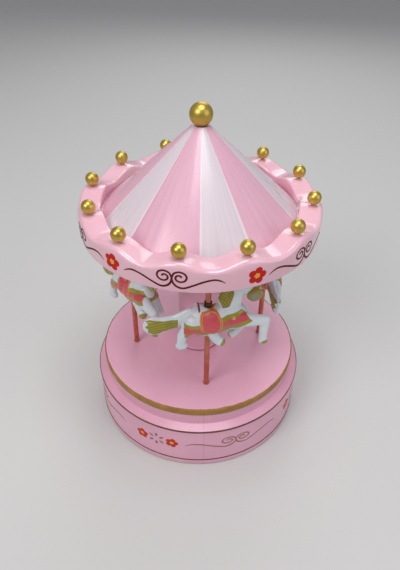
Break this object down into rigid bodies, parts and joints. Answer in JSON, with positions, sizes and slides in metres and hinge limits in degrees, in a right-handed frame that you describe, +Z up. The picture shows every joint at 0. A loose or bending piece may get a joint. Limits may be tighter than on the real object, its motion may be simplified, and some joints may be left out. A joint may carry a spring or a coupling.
{
  "type": "wind up carousel music box",
  "caption": "Carousel music box: horses on poles under a striped conical roof turn on a drum base, driven by a spring movement wound by twisting the top.",
  "frame": {"origin": "on the floor under the centre of the drum", "axes": "+Z up along the carousel's axis; -Y is the front seen in the picture; +X to its right"},
  "size_m": [0.1152, 0.1152, 0.1749],
  "materials": {
    "pink_plastic": "satin pink moulded plastic, printed with floral trim",
    "pink_gloss": "high gloss pink plastic, printed with flowers and scrolls",
    "pink_satin": "satin pink plastic with a gold foil edge band",
    "roof_stripes": "satin plastic, striped pale pink and white",
    "gold_ball": "mirror gold plating on plastic",
    "copper_pole": "polished copper-gold plating",
    "horse_plastic": "bluish white plastic with coral and olive gold paint",
    "dark_gold": "dark bronze gold plating",
    "brass": "turned and stamped brass",
    "steel": "bright steel",
    "cast_zinc": "as-cast zinc alloy, satin grey",
    "black_plastic": "black moulded plastic"
  },
  "bodies": {
    "base": {"drum_shell": "pink_plastic", "base_deck": "pink_plastic", "deck_bush": "brass", "bottom_cover": "black_plastic", "cover_screw_1": "steel", "cover_screw_2": "steel", "cover_screw_3": "steel", "movement_screw_1": "steel", "movement_screw_2": "steel", "movement_screw_3": "steel", "bedplate": "cast_zinc", "spring_barrel": "brass", "barrel_lid": "brass", "mainspring": "steel", "inner_bracket": "cast_zinc", "outer_bracket": "cast_zinc", "governor_bracket": "cast_zinc", "comb": "steel", "comb_screw_1": "steel", "comb_screw_2": "steel"},
    "carousel": {"winding_shaft": "steel", "crown_wheel": "brass", "turntable": "pink_satin", "turntable_screw": "steel", "centre_column": "pink_plastic", "pole_1": "copper_pole", "horse_1": "horse_plastic", "pole_collar_1": "dark_gold", "pole_2": "copper_pole", "horse_2": "horse_plastic", "pole_collar_2": "dark_gold", "pole_3": "copper_pole", "horse_3": "horse_plastic", "pole_collar_3": "dark_gold", "pole_4": "copper_pole", "horse_4": "horse_plastic", "pole_collar_4": "dark_gold", "ceiling": "pink_plastic", "canopy_ring": "pink_gloss", "roof_cone": "roof_stripes", "finial_ball": "gold_ball", "rim_ball_1": "gold_ball", "rim_ball_2": "gold_ball", "rim_ball_3": "gold_ball", "rim_ball_4": "gold_ball", "rim_ball_5": "gold_ball", "rim_ball_6": "gold_ball", "rim_ball_7": "gold_ball", "rim_ball_8": "gold_ball", "rim_ball_9": "gold_ball", "rim_ball_10": "gold_ball", "rim_ball_11": "gold_ball", "rim_ball_12": "gold_ball"},
    "cylinder": {"cylinder_pinion": "steel", "tune_cylinder": "brass", "cylinder_wheel": "brass"},
    "idler": {"idler_pinion": "steel", "worm_wheel": "brass"},
    "governor": {"governor_worm": "steel", "governor_fan": "black_plastic"}
  },
  "joints": [
    {"name": "carousel_spin", "type": "hinge", "parent": "base", "child": "carousel", "pos_m": [0, 0, 0.0405], "axis": [0, 0, 1], "continuous": true},
    {"name": "cylinder_spin", "type": "hinge", "parent": "base", "child": "cylinder", "pos_m": [0.0284, 0, 0.0175], "axis": [1, 0, 0], "continuous": true},
    {"name": "idler_spin", "type": "hinge", "parent": "base", "child": "idler", "pos_m": [0.0439, 0.0096, 0.0175], "axis": [1, 0, 0], "continuous": true},
    {"name": "governor_spin", "type": "hinge", "parent": "base", "child": "governor", "pos_m": [0.0439, 0.0163, 0.0175], "axis": [0, 0, 1], "continuous": true}
  ],
  "couplings": [
    {"joint": "cylinder_spin", "follows": "carousel_spin", "ratio": -4},
    {"joint": "idler_spin", "follows": "carousel_spin", "ratio": 12},
    {"joint": "governor_spin", "follows": "carousel_spin", "ratio": -192}
  ]
}
